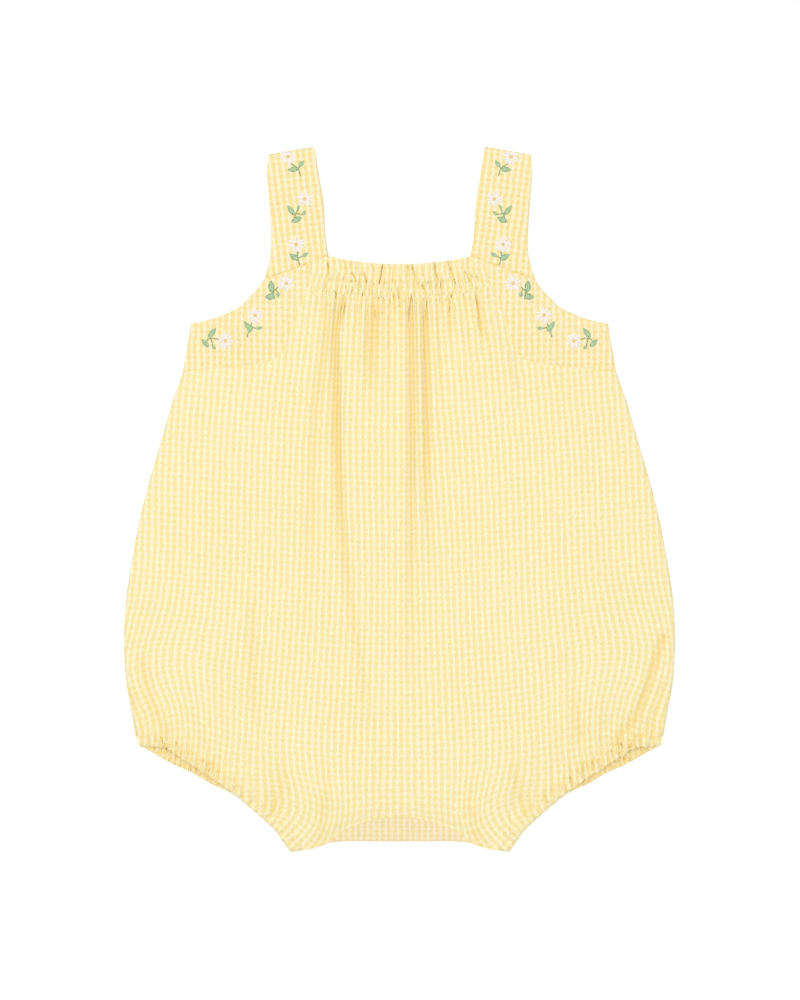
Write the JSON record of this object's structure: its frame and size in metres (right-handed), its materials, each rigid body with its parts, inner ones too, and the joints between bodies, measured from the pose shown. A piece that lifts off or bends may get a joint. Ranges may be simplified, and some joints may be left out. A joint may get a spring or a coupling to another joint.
{
  "type": "baby romper",
  "caption": "Sleeveless bubble romper in fine check seersucker, laid flat, with a gathered neck, wide straps, embroidered bands and elastic leg openings.",
  "frame": {"origin": "centre of the outline, on the surface that the back lies on", "axes": "+Y towards the straps, +Z out of the front, +X to the right as the front is seen"},
  "size_m": [0.3116, 0.3988, 0.0064],
  "materials": {
    "cloth": "matt crinkled cotton in a yellow and cream check",
    "embroidered_cloth": "matt crinkled cotton in a yellow and cream check, two layers, embroidered"
  },
  "bodies": {
    "root": {"front_panel": "cloth", "back_panel": "cloth", "neck_casing_front": "cloth", "neck_casing_back": "cloth", "crotch_placket": "cloth", "strap_left": "embroidered_cloth", "armhole_band_front_left": "embroidered_cloth", "armhole_band_back_left": "cloth", "leg_casing_front_left": "cloth", "leg_casing_back_left": "cloth", "strap_right": "embroidered_cloth", "armhole_band_front_right": "embroidered_cloth", "armhole_band_back_right": "cloth", "leg_casing_front_right": "cloth", "leg_casing_back_right": "cloth"}
  },
  "joints": []
}
